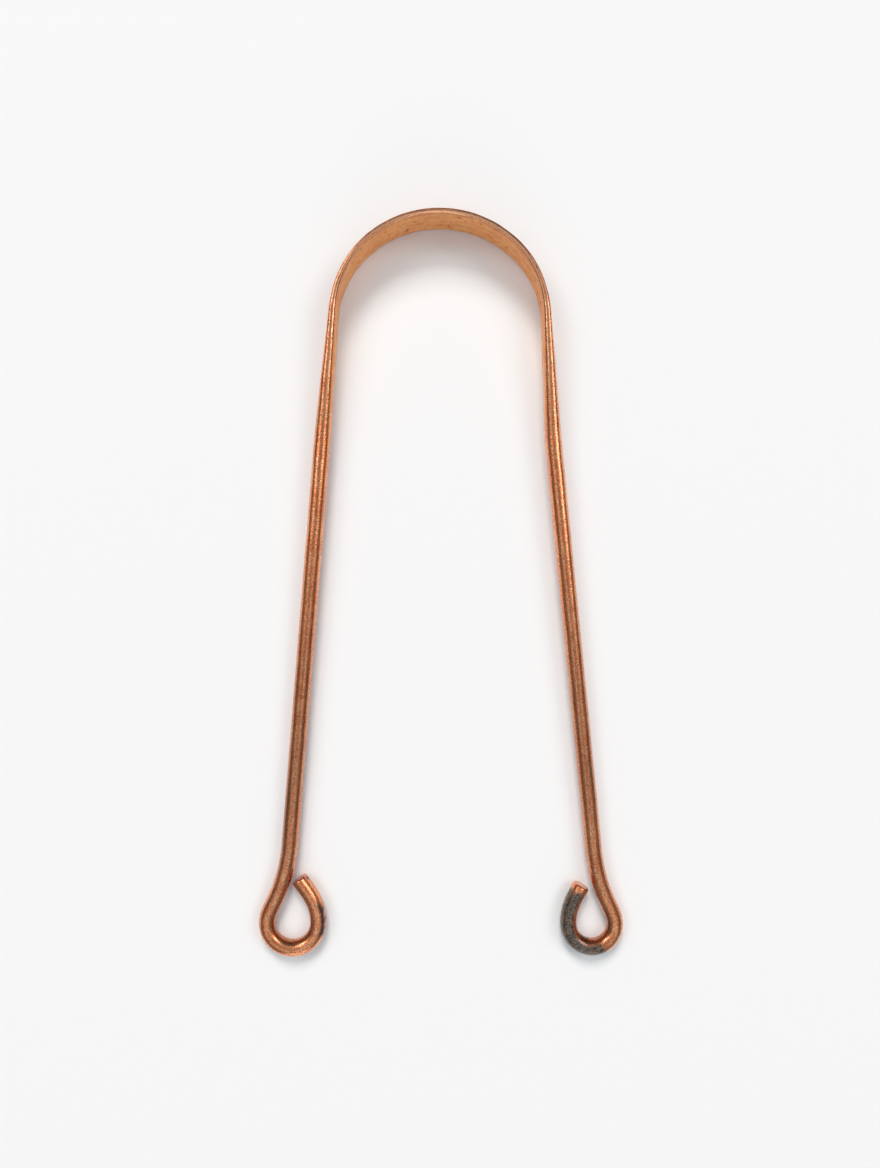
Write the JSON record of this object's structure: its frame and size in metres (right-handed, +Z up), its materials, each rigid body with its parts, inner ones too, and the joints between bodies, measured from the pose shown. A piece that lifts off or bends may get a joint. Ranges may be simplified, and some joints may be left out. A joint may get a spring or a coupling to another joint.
{
  "type": "tongue scraper",
  "caption": "Copper tongue scraper: one bent wire with a hammered flat scraping bow, two straight round handles and an open teardrop finger loop at each end.",
  "frame": {"origin": "on the table, under the middle of the scraper's outline as it lies flat", "axes": "+Y from the finger loops to the scraping bow, +X to the right seen from above, +Z up from the table"},
  "size_m": [0.0657, 0.1338, 0.0077],
  "materials": {
    "copper": "satin"
  },
  "bodies": {
    "bow": {"scraping_bow": "copper"},
    "left_arm": {"left_flank": "copper", "left_neck": "copper", "left_leg": "copper", "left_loop": "copper"},
    "right_arm": {"right_flank": "copper", "right_neck": "copper", "right_leg": "copper", "right_loop": "copper"}
  },
  "joints": [
    {"name": "left_flex", "type": "hinge", "parent": "bow", "child": "left_arm", "pos_m": [-0.01461, 0.06016, 0.0038], "axis": [0, -0.0183, 0.9998], "range_deg": [-6, 6], "stiffness_Nm_per_rad": 1.7},
    {"name": "right_flex", "type": "hinge", "parent": "bow", "child": "right_arm", "pos_m": [0.01363, 0.06016, 0.0038], "axis": [0, 0.0183, -0.9998], "range_deg": [-6, 6], "stiffness_Nm_per_rad": 1.7}
  ]
}
